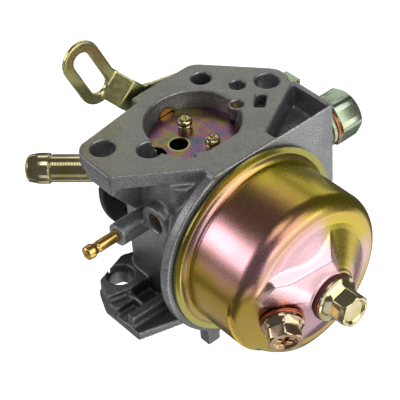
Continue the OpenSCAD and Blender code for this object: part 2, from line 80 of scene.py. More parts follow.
# the side pocket in metres: its box in the record, its middle, and the pitch of its tool marks
POCKET = next(o["box_m"] for o in frame["record"]["physics"]["openings"] if o["name"] == "side_pocket")
POCKET_AT = [(a + b) / 2 for a, b in zip(*POCKET)]
TOOL_MARK = 0.0011


# ---------------------------------------------------------------- materials
class Shader:
    """A short way to write a node material."""

    def __init__(self, name, **sockets):
        self.mat = bpy.data.materials.new(name)
        self.mat.use_nodes = True
        self.tree = self.mat.node_tree
        self.bsdf = self.tree.nodes["Principled BSDF"]
        for key, value in sockets.items():
            self.bsdf.inputs[key.replace("_", " ")].default_value = value
        self.coords = self.node("ShaderNodeTexCoord").outputs["Object"]

    def node(self, kind, **values):
        """A new node with these properties or input values."""
        made = self.tree.nodes.new(kind)
        for key, value in values.items():
            if hasattr(made, key):
                setattr(made, key, value)
            else:
                made.inputs[key.replace("_", " ")].default_value = value
        return made

    def link(self, out, into):
        self.tree.links.new(out, into)

    def noise(self, scale, detail, rough):
        """A noise of this many waves per metre, from 0 to 1."""
        tex = self.node("ShaderNodeTexNoise", Scale=scale, Detail=detail, Roughness=rough)
        self.link(self.coords, tex.inputs["Vector"])
        return tex.outputs["Fac"]

    def ramp(self, fac, stops):
        """A colour ramp: stops are (place, colour), where a number stands for a grey."""
        made = self.node("ShaderNodeValToRGB")
        els = made.color_ramp.elements
        while len(els) < len(stops):
            els.new(0.5)
        for el, (place, colour) in zip(els, stops):
            el.position = place
            colour = (colour,) * 3 if isinstance(colour, (int, float)) else colour
            el.color = (*colour, 1)
        self.link(fac, made.inputs["Fac"])
        return made.outputs["Color"]

    def math(self, op, a, b=0.0):
        """A sum on sockets or numbers."""
        made = self.node("ShaderNodeMath", operation=op)
        for i, value in enumerate((a, b)):
            if isinstance(value, (int, float)):
                made.inputs[i].default_value = value
            else:
                self.link(value, made.inputs[i])
        return made.outputs[0]

    def mix(self, fac, a, b):
        """Colour a where fac is 0, colour b where it is 1."""
        made = self.node("ShaderNodeMix", data_type="RGBA")
        self.link(fac, made.inputs[0])
        for socket, colour in ((made.inputs[6], a), (made.inputs[7], b)):
            if isinstance(colour, tuple):
                socket.default_value = (*colour, 1)
            else:
                self.link(colour, socket)
        return made.outputs[2]

    def axes(self, vector=None):
        """The x, y and z of a vector, or of the place on the object."""
        made = self.node("ShaderNodeSeparateXYZ")
        self.link(vector or self.coords, made.inputs[0])
        return made.outputs

    def normal_axes(self):
        return self.axes(self.node("ShaderNodeNewGeometry").outputs["Normal"])

    def step(self, value, low, high):
        """0 below low, 1 above high, smooth between."""
        made = self.node("ShaderNodeMapRange", interpolation_type="SMOOTHSTEP")
        made.inputs["From Min"].default_value = low
        made.inputs["From Max"].default_value = high
        self.link(value, made.inputs["Value"])
        return made.outputs["Result"]

    def near(self, value, middle, width):
        """1 where value is at middle, 0 from width away, smooth between."""
        away = self.math("ABSOLUTE", self.math("SUBTRACT", value, middle))
        return self.math("SUBTRACT", 1.0, self.step(away, 0.0, width))

    def distance(self, a, b):
        """Length of the vector (a, b)."""
        squares = self.math("MULTIPLY", a, a), self.math("MULTIPLY", b, b)
        return self.math("SQRT", self.math("ADD", *squares))

    def away(self, x, y):
        """Distance from an upright line through (x, y)."""
        axes = self.axes()
        return self.distance(self.math("SUBTRACT", axes[0], x), self.math("SUBTRACT", axes[1], y))

    def edges(self, radius, low=0.01, high=0.15):
        """1 on edges within this radius, in metres."""
        soft = self.node("ShaderNodeBevel", samples=4, Radius=radius)
        plain = self.node("ShaderNodeNewGeometry").outputs["Normal"]
        dot = self.node("ShaderNodeVectorMath", operation="DOT_PRODUCT")
        self.link(soft.outputs["Normal"], dot.inputs[0])
        self.link(plain, dot.inputs[1])
        return self.step(self.math("SUBTRACT", 1.0, dot.outputs["Value"]), low, high)

    def bump(self, height, distance, strength):
        """Relief of this height in metres."""
        made = self.node("ShaderNodeBump", Strength=strength, Distance=distance)
        self.link(height, made.inputs["Height"])
        self.link(made.outputs["Normal"], self.bsdf.inputs["Normal"])

    def colour(self, out):
        self.link(out, self.bsdf.inputs["Base Color"])

    def rough(self, out):
        self.link(out, self.bsdf.inputs["Roughness"])


def plain_metal(name, colour, rough, vary=0.12, grain=1800.0, tint=None, wear=0.4):
    """Turned or plated metal: cloudy tone, fine grain, brighter worn edges."""
    s = Shader(name, Metallic=1.0)
    dark = tuple(c * (1 - vary) for c in colour)
    light = tuple(min(1.0, c * (1 + vary)) for c in colour)
    cloud = s.noise(140.0, 3.0, 0.55)
    base = s.ramp(cloud, [(0.35, dark), (0.65, tint or light)])
    bright = tuple(min(1.0, c * 1.5 + 0.08) for c in colour)
    worn = s.mix(s.math("MULTIPLY", s.edges(0.00025), wear), base, bright)
    s.colour(worn)
    fine = s.noise(grain, 2.0, 0.5)
    s.rough(s.ramp(fine, [(0.3, rough * 0.85), (0.7, min(1.0, rough * 1.2))]))
    s.bump(fine, 0.000005, 0.3)
    return s.mat


def casting_metal():
    """Die-cast zinc: dark tumbled skin with painted shade on its lower end, lighter machined faces, and
    worn edges that also carry painted highlights.
    """
    s = Shader("casting", Metallic=0.85)
    x, y, z = s.axes()
    nz = s.normal_axes()[2]
    speck = s.noise(2600.0, 3.0, 0.7)
    cloud = s.noise(70.0, 3.0, 0.6)
    skin = s.ramp(speck, [
        (0.36, (0.16, 0.163, 0.172)), (0.5, (0.31, 0.313, 0.325)), (0.64, (0.58, 0.58, 0.58)),
    ])
    skin = s.mix(s.math("MULTIPLY", s.step(cloud, 0.35, 0.7), 0.45), skin, (0.15, 0.152, 0.158))
    # painted shade: the lower end is darkened towards the bottom, standing in for the shade in its cast
    # pockets
    skin = s.mix(s.math("MULTIPLY", s.step(z, 0.026, 0.012), 0.62), skin, (0.07, 0.07, 0.074))
    # machined intake face: warm grey, fine pitted grain
    face = s.math("MULTIPLY", s.step(z, (FACE_Z - 0.18) * MM, (FACE_Z - 0.06) * MM), s.step(nz, 0.8, 0.95))
    pits = s.noise(3400.0, 2.0, 0.6)
    faced = s.ramp(pits, [
        (0.34, (0.20, 0.196, 0.178)), (0.45, (0.33, 0.326, 0.298)), (0.62, (0.46, 0.455, 0.42)),
    ])
    stain = s.math("MULTIPLY", s.step(s.noise(110.0, 3.0, 0.6), 0.5, 0.7), 0.3)
    faced = s.mix(stain, faced, (0.24, 0.235, 0.215))
    # circular tool marks on the floor of the side pocket
    pocket_x, _, pocket_z = POCKET[0]
    rings = s.math("SINE", s.math("MULTIPLY", s.away(*POCKET_AT[:2]), 2 * math.pi / TOOL_MARK))
    rings = s.math("MULTIPLY", s.math("ADD", rings, 1.4), 0.36)
    in_pocket = s.math("MULTIPLY", s.step(x, pocket_x - 0.001, pocket_x), s.step(y, 0.014, 0.015))
    pocket_floor = s.math("MULTIPLY", s.near(z, pocket_z, 0.001), s.step(nz, 0.8, 0.95))
    in_pocket = s.math("MULTIPLY", in_pocket, pocket_floor)
    skin = s.mix(s.math("MULTIPLY", rings, in_pocket), skin, (0.62, 0.62, 0.62))
    base = s.mix(face, skin, faced)
    # worn edges, partly real wear and partly painted highlight: the edges are lightened to stand in for
    # glints of light along them
    worn = s.ramp(s.noise(900.0, 2.0, 0.6), [(0.38, 0.15), (0.6, 0.9)])
    edge_wear_and_highlight = s.math("MULTIPLY", s.edges(0.0010, 0.010, 0.09), worn)
    base = s.mix(edge_wear_and_highlight, base, (0.78, 0.78, 0.76))
    s.colour(base)
    rough = s.ramp(speck, [(0.3, 0.33), (0.7, 0.50)])
    s.rough(s.mix(face, rough, (0.42, 0.42, 0.42)))
    grain = s.math("ADD", s.math("MULTIPLY", speck, 0.6), s.math("MULTIPLY", s.noise(650.0, 2.0, 0.5), 0.8))
    s.bump(grain, 0.00006, 0.5)
    return s.mat


def bowl_metal():
    """Yellow chromate over zinc: olive, gold and pink, with painted light in the colour round the cup's
    side: browner where the dark overhead reflects, pale pink where the key highlight falls.
    """
    s = Shader("zinc_bowl", Metallic=1.0)
    x, y, z = s.axes()
    up = s.math("SUBTRACT", z, BOWL_Z * MM)
    turn = s.math("MULTIPLY", s.math("ARCTAN2", up, y), 180 / math.pi)
    radius = s.distance(y, up)
    cloud = s.noise(55.0, 2.0, 0.5)
    wander = s.math("MULTIPLY", s.math("SUBTRACT", cloud, 0.5), 46.0)
    turn = s.math("ADD", turn, wander)
    # colour round the cup's side, set by angle: partly coating colour and partly painted reflection, with a
    # darker brown band where the dark overhead reflects and a pale pink band where the key light's
    # highlight falls
    side = s.ramp(s.math("DIVIDE", s.math("ADD", turn, 180.0), 360.0), [
        (0.00, (0.62, 0.40, 0.08)), (0.12, (0.66, 0.48, 0.08)), (0.30, (0.60, 0.48, 0.06)),
        (0.55, (0.58, 0.50, 0.03)), (0.70, (0.54, 0.44, 0.03)), (0.76, (0.52, 0.32, 0.08)),
        (0.82, (0.60, 0.28, 0.22)), (0.875, (0.90, 0.50, 0.58)), (0.92, (0.78, 0.40, 0.30)),
        (0.955, (0.62, 0.40, 0.07)), (1.0, (0.62, 0.40, 0.06)),
    ])
    # end of the cup: pink, with gold at the top right and round the edge
    warm = s.step(s.math("ADD", y, s.math("MULTIPLY", cloud, 0.006)), 0.003, 0.010)
    high = s.step(s.math("ADD", z, s.math("MULTIPLY", cloud, 0.004)), 0.030, 0.040)
    gold_end = s.math("MULTIPLY", warm, high)
    low_edge = s.math("MULTIPLY", s.step(radius, 0.018, 0.0235), s.step(z, 0.026, 0.016))
    end = s.mix(gold_end, (0.87, 0.55, 0.60), (0.70, 0.54, 0.08))
    end = s.mix(s.math("MULTIPLY", s.step(radius, 0.021, 0.026), 0.8), end, (0.70, 0.44, 0.16))
    end = s.mix(low_edge, end, (0.56, 0.37, 0.12))
    facing = s.step(x, 0.0515, 0.0545)
    base = s.mix(facing, side, end)
    # rim: yellow-green, then a pink step
    base = s.mix(s.math("SUBTRACT", 1.0, s.step(x, 0.0266, 0.0272)), base, (0.40, 0.37, 0.10))
    base = s.mix(s.math("MULTIPLY", s.near(x, 0.0275, 0.0006), 0.7), base, (0.80, 0.52, 0.36))
    fine = s.noise(1900.0, 2.0, 0.5)
    base = s.mix(s.math("MULTIPLY", s.step(fine, 0.62, 0.75), 0.12), base, (0.95, 0.82, 0.72))
    s.colour(base)
    s.rough(s.ramp(fine, [(0.3, 0.24), (0.7, 0.31)]))
    s.bump(s.math("ADD", fine, s.math("MULTIPLY", s.noise(420.0, 2.0, 0.5), 1.2)), 0.000016, 0.5)
    return s.mat


def plate_metal():
    """Butterfly plate in dark iridescent chromate."""
    s = Shader("plate_steel", Metallic=1.0)
    cloud = s.noise(120.0, 3.0, 0.55)
    base = s.ramp(cloud, [
        (0.30, (0.10, 0.15, 0.15)), (0.42, (0.20, 0.14, 0.23)), (0.5, (0.32, 0.14, 0.18)),
        (0.58, (0.30, 0.25, 0.07)), (0.70, (0.13, 0.20, 0.16)),
    ])
    # yellow-green ring round the plate's air hole
    away = s.away(-0.0002, -0.006)
    ring = s.math("SUBTRACT", s.step(away, 0.0023, 0.0027), s.step(away, 0.0031, 0.0039))
    base = s.mix(s.math("MULTIPLY", ring, 0.85), base, (0.52, 0.60, 0.14))
    base = s.mix(s.math("MULTIPLY", s.edges(0.0005), 0.8), base, (0.60, 0.56, 0.20))
    s.colour(base)
    fine = s.noise(1500.0, 2.0, 0.5)
    s.rough(s.ramp(fine, [(0.3, 0.24), (0.7, 0.34)]))
    s.bump(fine, 0.00002, 0.5)
    return s.mat


def soft_black(name, colour, rough, grain):
    """Rubber, fibre or moulded plastic: dark, speckled, paler on worn edges."""
    s = Shader(name, Metallic=0.0)
    speck = s.noise(grain, 3.0, 0.6)
    light = tuple(c * 2.2 + 0.004 for c in colour)
    base = s.ramp(speck, [(0.35, colour), (0.75, light)])
    s.colour(s.mix(s.math("MULTIPLY", s.edges(0.0004), 0.35), base, tuple(c * 4 + 0.02 for c in colour)))
    s.rough(s.ramp(speck, [(0.3, rough * 0.85), (0.7, min(1.0, rough * 1.2))]))
    s.bump(speck, 0.00004, 0.5)
    return s.mat


MATS = {
    "casting": casting_metal(),
    "zinc_bowl": bowl_metal(),
    "plate_steel": plate_metal(),
    "brass": plain_metal("brass", (0.78, 0.50, 0.15), 0.2),
    "steel": plain_metal("steel", (0.50, 0.51, 0.52), 0.28),
    "copper": plain_metal("copper", (0.52, 0.19, 0.10), 0.32),
    "zinc_bolts": plain_metal("zinc_bolts", (0.78, 0.66, 0.30), 0.14, 0.12, tint=(0.80, 0.72, 0.46)),
    "zinc_pale": plain_metal("zinc_pale", (0.50, 0.54, 0.32), 0.26, tint=(0.44, 0.56, 0.44)),
    "lever_steel": plain_metal("lever_steel", (0.80, 0.76, 0.34), 0.26, grain=500.0, wear=0.25),
    "rubber": soft_black("rubber", (0.010, 0.010, 0.011), 0.6, 900.0),
    "fibre": soft_black("fibre", (0.06, 0.012, 0.012), 0.55, 1500.0),
    "black_plastic": soft_black("black_plastic", (0.008, 0.008, 0.009), 0.45, 1200.0),
}
for part in frame["record"]["subparts"]:
    node = NODES[part["node"]]
    node.data.materials.clear()
    node.data.materials.append(MATS[part["material_slot"]])


# ---------------------------------------------------------------- mesh helpers
HEX_STEPS = 180  # points round a hexagon head
SCREW_STEPS = 144  # points round a screw head


def place(name, points, faces, node, smooth):
    """A piece from points in millimetres, which rides with a CAD node's body."""
    mesh = bpy.data.meshes.new(name)
    corners = [tuple(p) for p in np.asarray(points) * MM]
    mesh.from_pydata(corners, [], [tuple(int(i) for i in f) for f in faces])
    mesh.validate()
    return adopt(name, mesh, node, smooth)


def adopt(name, mesh, node, smooth):
    """A piece from a mesh, with the node's body, slot and material.
    Edges past the angle smooth, in degrees, stay sharp."""
    obj = bpy.data.objects.new(name, mesh)
    bpy.context.collection.objects.link(obj)
    mesh.materials.clear()
    mesh.materials.append(MATS[SLOTS[node]])
    mesh.shade_smooth()
    if smooth < 180:
        mesh.set_sharp_from_angle(angle=math.radians(smooth))
    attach(obj, BODY_OF[node])
    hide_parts(node)
    return obj


def frame_along(direction, side=(0, 0, 1)):
    """Two unit vectors across a direction, and the direction itself."""
    w = np.array(direction, float)
    w /= np.linalg.norm(w)
    u = np.array(side, float)
    if abs(u @ w) > 0.95:
        u = np.array([1.0, 0.0, 0.0])
    u -= (u @ w) * w
    u /= np.linalg.norm(u)
    return u, np.cross(w, u), w


def loft(rings, origin, direction, side=(0, 0, 1), closed=False):
    """Points and faces of rings stacked along a direction.
    A ring is a pair of arrays, radius and height at even angles. A closed loft joins its last
    ring to its first, and an open one has flat ends."""
    count = len(rings[0][0])
    ang = np.arange(count) * 2 * math.pi / count
    u, v, w = frame_along(direction, side)
    points = []
    for radius, height in rings:
        for a, r, h in zip(ang, radius, height):
            points.append(np.array(origin) + u * r * math.cos(a) + v * r * math.sin(a) + w * h)
    faces = []
    n = len(rings)
    for k in range(n if closed else n - 1):
        a0, b0 = k * count, ((k + 1) % n) * count
        for i in range(count):
            j = (i + 1) % count
            faces.append((a0 + i, a0 + j, b0 + j, b0 + i))
    if not closed:
        faces.append(tuple(range(count - 1, -1, -1)))
        faces.append(tuple((n - 1) * count + i for i in range(count)))
    return points, faces


def lathe(profile, origin, direction, count=72):
    """Revolves a closed loop of (radius, height) points into a ring or a tube."""
    rings = [(np.full(count, r), np.full(count, h)) for r, h in profile]
    return loft(rings, origin, direction, closed=True)


def rounded(profile, size, steps=3):
    """Rounds the corners of a closed loop of points."""
    pts = [np.array(p, float) for p in profile]
    out = []
    for i, p in enumerate(pts):
        a, b = pts[i - 1] - p, pts[(i + 1) % len(pts)] - p
        la, lb = np.linalg.norm(a), np.linalg.norm(b)
        cut = min(size, 0.45 * la, 0.45 * lb)
        start, end = p + a / la * cut, p + b / lb * cut
        for t in np.linspace(0, 1, steps + 1):
            out.append(tuple((1 - t) ** 2 * start + 2 * t * (1 - t) * p + t * t * end))
    return out


def hex_radius(angles, flat, turn, corner=0.25):
    """Radius of a hexagon of this width across flats, with softened corners."""
    soft = 0.06
    a = (angles - turn + math.pi / 6) % (math.pi / 3) - math.pi / 6
    sharp = flat / 2 / np.cos(a)
    limit = flat / math.sqrt(3) - corner
    return -np.logaddexp(-sharp / soft, -limit / soft) * soft


def even_angles(count):
    """Angles round a ring, and a 1 for each of them."""
    return np.arange(count) * 2 * math.pi / count, np.ones(count)


def bolt_head(across, head_h, flange_r, dish_r, turn, recess=0.0):
    """Rings of a flanged hexagon head from its seat up: chamfered top, dished face."""
    ang, flat = even_angles(HEX_STEPS)
    hexr = hex_radius(ang, across, turn)
    rings = [(flat * (flange_r - 0.25), flat * 0.0)]
    rings += [(flat * flange_r, flat * 0.2), (flat * flange_r, flat * 1.1)]
    for t in np.linspace(0.12, 1, 7):
        rings.append((flange_r + (hexr + 0.3 - flange_r) * t, flat * (1.2 + 1.9 * t ** 1.5)))
    rings.append((hexr + 0.06, flat * 3.3))
    rings.append((hexr, flat * 3.7))
    chamfer_r = across / 2 - 0.15
    top = lambda r: head_h - np.maximum(0, r - chamfer_r) * 0.62
    rings.append((hexr, top(hexr) - 0.22))
    rings.append((hexr - 0.05, top(hexr) - 0.05))
    inner = np.minimum(hexr, chamfer_r + 0.02)
    rings.append(((hexr + inner) / 2, top((hexr + inner) / 2)))
    rings.append((np.minimum(hexr - 0.15, chamfer_r - 0.1), flat * head_h))
    # the lip and the dished face, with the cross recess cut into it
    for past, drop in ((0.45, 0.0), (0.25, 0.08), (-0.2, 0.62), (-0.45, 0.8)):
        rings.append((flat * (dish_r + past), flat * (head_h - drop)))
    for r in np.linspace(dish_r - 0.6, 0.02, 26):
        bowl = 0.85 - 0.18 * (r / dish_r) ** 2
        depth = flat * bowl
        if recess:
            x, y = r * np.cos(ang + 0.4), r * np.sin(ang + 0.4)
            half = 0.52 + 0.25 * np.maximum(0, 1 - r / 1.6)
            arm = np.minimum(np.abs(x), np.abs(y)) - half
            cross = 1 / (1 + np.exp(np.clip(np.maximum(arm, r - 2.55) / 0.07, -40, 40)))
            depth = bowl + recess * cross * (1 - 0.25 * r / 2.6)
        rings.append((flat * r, head_h - depth))
    return rings


def screw_top(head_r, head_h, turn):
    """Rings of a pan head with a cross recess."""
    recess = 0.9
    ang, flat = even_angles(SCREW_STEPS)
    rings = [(flat * (head_r - 0.2), flat * 0.0)]
    rings += [(flat * head_r, flat * 0.18), (flat * head_r, flat * head_h * 0.45)]
    for t in np.linspace(0.1, 1, 30):
        r = head_r * (1 - t) + 0.01
        dome = head_h * (0.45 + 0.55 * math.sqrt(max(0.0, 1 - (r / head_r) ** 3)))
        x, y = r * np.cos(ang + turn), r * np.sin(ang + turn)
        half = 0.26 + 0.14 * max(0.0, 1 - r / 0.9)
        arm = np.minimum(np.abs(x), np.abs(y)) - half
        cross = 1 / (1 + np.exp(np.clip(np.maximum(arm, r - 0.64 * head_r) / 0.035, -40, 40)))
        rings.append((flat * r, dome - recess * cross * (1 - 0.3 * r / head_r)))
    return rings


def tube(path, radius, sides=8):
    """A closed-ended tube along a path."""
    path = np.asarray(path, float)
    ahead = np.gradient(path, axis=0)
    ahead /= np.linalg.norm(ahead, axis=1)[:, None]
    points, u = [], frame_along(ahead[0])[0]
    for p, w in zip(path, ahead):
        u = u - (u @ w) * w
        u /= np.linalg.norm(u)
        v = np.cross(w, u)
        for k in range(sides):
            a = 2 * math.pi * k / sides
            points.append(p + radius * (math.cos(a) * u + math.sin(a) * v))
    faces = []
    for i in range(len(path) - 1):
        for k in range(sides):
            m = (k + 1) % sides
            faces.append((i * sides + k, i * sides + m, (i + 1) * sides + m, (i + 1) * sides + k))
    faces.append(tuple(range(sides - 1, -1, -1)))
    faces.append(tuple((len(path) - 1) * sides + k for k in range(sides)))
    return points, faces


def joined(*parts):
    """Several (points, faces) pairs as one."""
    points, faces = [], []
    for pts, fcs in parts:
        base = len(points)
        points.extend(pts)
        faces.extend(tuple(i + base for i in f) for f in fcs)
    return points, faces


def remeshed(node, voxel, rounds, hold=None):
    """A voxel copy of a CAD node with its edges eased by averaging.
    hold gives each point's share of the easing."""
    obj = bpy.data.objects.new("draft", NODES[node].data.copy())
    bpy.context.collection.objects.link(obj)
    mod = obj.modifiers.new("remesh", "REMESH")
    mod.mode = "VOXEL"
    mod.voxel_size = voxel * MM
    graph = bpy.context.evaluated_depsgraph_get()
    mesh = bpy.data.meshes.new_from_object(obj.evaluated_get(graph), depsgraph=graph)
    bpy.data.objects.remove(obj)
    count = len(mesh.vertices)
    co = np.empty(count * 3)
    mesh.vertices.foreach_get("co", co)
    co = co.reshape(-1, 3) / MM
    pairs = np.empty(len(mesh.edges) * 2, np.int64)
    mesh.edges.foreach_get("vertices", pairs)
    a, b = pairs.reshape(-1, 2).T
    valence = np.maximum(np.bincount(a, minlength=count) + np.bincount(b, minlength=count), 1)
    share = np.ones(count) if hold is None else hold(co)
    for _ in range(rounds):
        mean = np.empty_like(co)
        for k in range(3):
            mean[:, k] = np.bincount(a, co[b, k], count) + np.bincount(b, co[a, k], count)
        mean /= valence[:, None]
        co += (mean - co) * (0.6 * share)[:, None]
    return mesh, co


def write_points(mesh, co):
    """Puts points in millimetres back into a mesh."""
    mesh.vertices.foreach_set("co", (co * MM).ravel())
    mesh.update()
    return mesh


# ---------------------------------------------------------------- casting
def casting_hold(co):
    """Machined faces and bores keep their edges; the rest gets soft cast corners."""
    share = np.ones(len(co))
    top = np.clip((FACE_Z - co[:, 2]) / 0.8, 0, 1)
    share *= 0.12 + 0.88 * top
    share *= np.where(co[:, 2] < 0.5, 0.3, 1)
    share *= np.where(np.abs(co[:, 0] - JOINT_X) < 0.5, 0.25, 1)
    return share


def casting():
    """The die-cast body with soft cast corners."""
    mesh, co = remeshed("carb_body", 0.42, 5, casting_hold)
    # the intake face stays flat, and nothing drops below the CAD box
    co[co[:, 2] > FACE_Z - 0.12, 2] = FACE_Z
    co[:, 2] = np.maximum(co[:, 2], box_mm("carb_body")[0][2])
    adopt("casting_body", write_points(mesh, co), "carb_body", smooth=180)


# ---------------------------------------------------------------- float bowl
def smooth_max(a, b, k):
    """The larger of two heights, blended over a width k."""
    h = np.clip(0.5 + 0.5 * (a - b) / k, 0, 1)
    return b + (a - b) * h + k * h * (1 - h)


def smooth_min(a, b, k):
    return -smooth_max(-a, -b, k)


def plane_through(a, b, c, outward):
    """Signed height above the plane of three points, positive on the outward side."""
    a, b, c = (np.array(p, float) for p in (a, b, c))
    n = np.cross(b - a, c - a)
    n /= np.linalg.norm(n)
    if n @ np.array(outward, float) < 0:
        n = -n
    return n, n @ a


# the drain facet: its outward normal and a point on it
DRAIN_N = np.array([0.79, -0.56, -0.24]) / np.linalg.norm([0.79, -0.56, -0.24])
DRAIN_AT = np.array([55.2, -15.3, 25.5])
SEAT_X, SEAT_R = BOWL_HI[0], 8.6
CUP_R, SHOULDER_R, CUP_END = 28.6, 6.5, 53.9  # the shoulder joins the cup's wall to its end
WALL = 1.0  # sheet thickness
BOWL_STEPS = 400  # points round the bowl
OUTLINE_STEP = 0.42  # distance between rings of points
SHAPED_FROM = 46.5  # the pressed shapes start past this x


def bowl_outline():
    """(radius, x) points of the cup from its rim to the middle of its end."""
    pts = [(32.5, 25.6), (32.5, 26.6), (30.6, 26.65), (30.15, 26.95), (29.85, 27.5), (29.3, 27.95),
           (28.75, 28.3), (28.5, 28.8), (28.6, 29.4), (28.6, 47.4)]
    middle_r, middle_x = CUP_R - SHOULDER_R, CUP_END - SHOULDER_R
    for a in np.radians(np.linspace(4, 66, 12)):
        pts.append((middle_r + SHOULDER_R * math.cos(a), middle_x + SHOULDER_R * math.sin(a)))
    # shallow valley inside the shoulder, then the cone up to the seat
    pts += [(24.0, 53.55), (22.8, 53.7), (21.2, 53.95), (19.4, 54.65), (17.2, 55.9),
            (14.5, 57.5), (11.5, 59.3), (9.6, 60.3), (8.2, 60.75), (0.01, 60.8)]
    return np.array(pts)


WEDGE = [  # three points on each face of the pressed wedge, and its outward side
    ((54.0, -17.9, 43.1), (56.4, 3.8, 45.6), (57.6, -14.4, 40.9), (1, -0.2, 0.8)),
    ((57.6, -14.4, 40.9), (59.1, -1.6, 43.7), (60.9, -7.6, 32.4), (1, 0, 0.1)),
    ((56.45, -18.1, 37.7), (60.3, -8.05, 32.6), (57.55, -14.4, 40.9), (0.6, -0.6, -0.3)),
    ((57.2, 3.0, 45.4), (61.2, 5.2, 34.4), (56.5, 8.0, 40.5), (0.8, 0.5, 0.3)),
    ((53.4, -18.9, 43.2), (53.0, -22.1, 39.6), (55.5, -18.6, 41.4), (0.1, -0.8, 0.5)),
]


def bowl_field(p, outline):
    """Height above the bowl's outer surface, in millimetres, negative inside."""
    r = np.hypot(p[:, 1], p[:, 2] - BOWL_Z)
    x = p[:, 0]
    a, b = outline[:-1], outline[1:]
    best = np.full(len(p), 1e9)
    sign = np.full(len(p), 1.0)
    for (ar, ax), (br, bx) in zip(a, b):
        dr, dx = br - ar, bx - ax
        ll = dr * dr + dx * dx
        t = np.clip(((r - ar) * dr + (x - ax) * dx) / ll, 0, 1)
        qr, qx = r - ar - t * dr, x - ax - t * dx
        d = qr * qr + qx * qx
        closer = d < best - 1e-9
        side = np.sign(dx * (r - ar) - dr * (x - ax))
        best = np.where(closer, d, best)
        sign = np.where(closer, side, sign)
    cup = np.sqrt(best) * np.where(sign == 0, 1, sign)
    wedge = None
    for *corners, outward in WEDGE:
        n, at = plane_through(*corners, outward)
        height = p @ n - at
        wedge = height if wedge is None else smooth_max(wedge, height, 0.3)
    for height, k in ((cup - 3.2, 0.5), (51.6 - x, 0.3), (31.0 - p[:, 2], 0.8), (p[:, 1] - 8.0, 1.5)):
        wedge = smooth_max(wedge, height, k)
    shape = smooth_min(cup, wedge, 0.5)
    seat = smooth_max(r - SEAT_R, x - SEAT_X, 0.35)
    shape = smooth_min(shape, seat, 0.8)
    drain = (p - DRAIN_AT) @ DRAIN_N
    return smooth_max(shape, drain, 3.2)


def bowl():
    """The pressed bowl: a turned cup whose end follows bowl_field, with an inner skin."""
    outline = bowl_outline()
    # even steps along the outline
    dense = []
    for (ar, ax), (br, bx) in zip(outline[:-1], outline[1:]):
        length = math.hypot(br - ar, bx - ax)
        steps = max(1, int(round(length / OUTLINE_STEP)))
        for t in np.arange(steps) / steps:
            dense.append((ar + (br - ar) * t, ax + (bx - ax) * t))
    dense.append(tuple(outline[-1]))
    dense = np.array(dense)
    tangent = np.gradient(dense, axis=0)
    for _ in range(6):
        tangent[1:-1] = (tangent[:-2] + 2 * tangent[1:-1] + tangent[2:]) / 4
    tangent /= np.linalg.norm(tangent, axis=1)[:, None]
    out = np.stack([tangent[:, 1], -tangent[:, 0]], 1)
    ang = np.arange(BOWL_STEPS) * 2 * math.pi / BOWL_STEPS
    count, rows = BOWL_STEPS, len(dense)
    around = np.stack([np.zeros(count), np.cos(ang), np.sin(ang)], 1)
    base = dense[:, None, :1] * around + np.array([0, 0, BOWL_Z])
    base[:, :, 0] = dense[:, 1][:, None]
    way = out[:, None, :1] * around
    way[:, :, 0] = out[:, 1][:, None]
    base, way = base.reshape(-1, 3), way.reshape(-1, 3)
    # the shaped end: each point slides along its normal until it meets the field's surface
    moved = np.repeat(dense[:, 1] > SHAPED_FROM, count)
    start, along = base[moved], way[moved]
    lo, hi = np.full(len(start), -12.0), np.full(len(start), 5.0)
    for _ in range(17):
        mid = (lo + hi) / 2
        outside = bowl_field(start + along * mid[:, None], outline) > 0
        hi = np.where(outside, mid, hi)
        lo = np.where(outside, lo, mid)
    base[moved] = start + along * ((lo + hi) / 2)[:, None]
    grid = base.reshape(rows, count, 3)
    points = grid[:-1].reshape(-1, 3)
    tip = grid[-1].mean(0)
    faces = []
    for k in range(rows - 2):
        for i in range(count):
            j = (i + 1) % count
            faces.append((k * count + i, (k + 1) * count + i, (k + 1) * count + j, k * count + j))
    last = (rows - 2) * count
    tip_id = len(points)
    points = list(points) + [tip]
    for i in range(count):
        faces.append((last + i, tip_id, last + (i + 1) % count))
    # open mouth: a flat rim and a plain inner wall down to a floor
    start = len(points)
    inner = [(28.4, 25.6), (27.6, 26.4), (27.6, 47.4), (25.8, 51.4),
             (22.6, 52.6), (16.8, 55.0), (9.0, 59.0), (3.2, 59.4)]
    for r, x in inner:
        for a in ang:
            q = np.array([x, r * math.cos(a), BOWL_Z + r * math.sin(a)])
            over = (q - DRAIN_AT) @ DRAIN_N + WALL
            points.append(q - DRAIN_N * max(0.0, over))
    for k in range(len(inner) - 1):
        for i in range(count):
            j = (i + 1) % count
            a, b = start + k * count, start + (k + 1) * count
            faces.append((a + i, a + j, b + j, b + i))
    floor_id = len(points)
    points.append(np.array([59.4, 0, BOWL_Z]))
    back = start + (len(inner) - 1) * count
    for i in range(count):
        j = (i + 1) % count
        faces.append((i, j, start + j, start + i))
        faces.append((back + i, back + j, floor_id))
    place("bowl_shell", points, faces, "float_bowl", smooth=60)


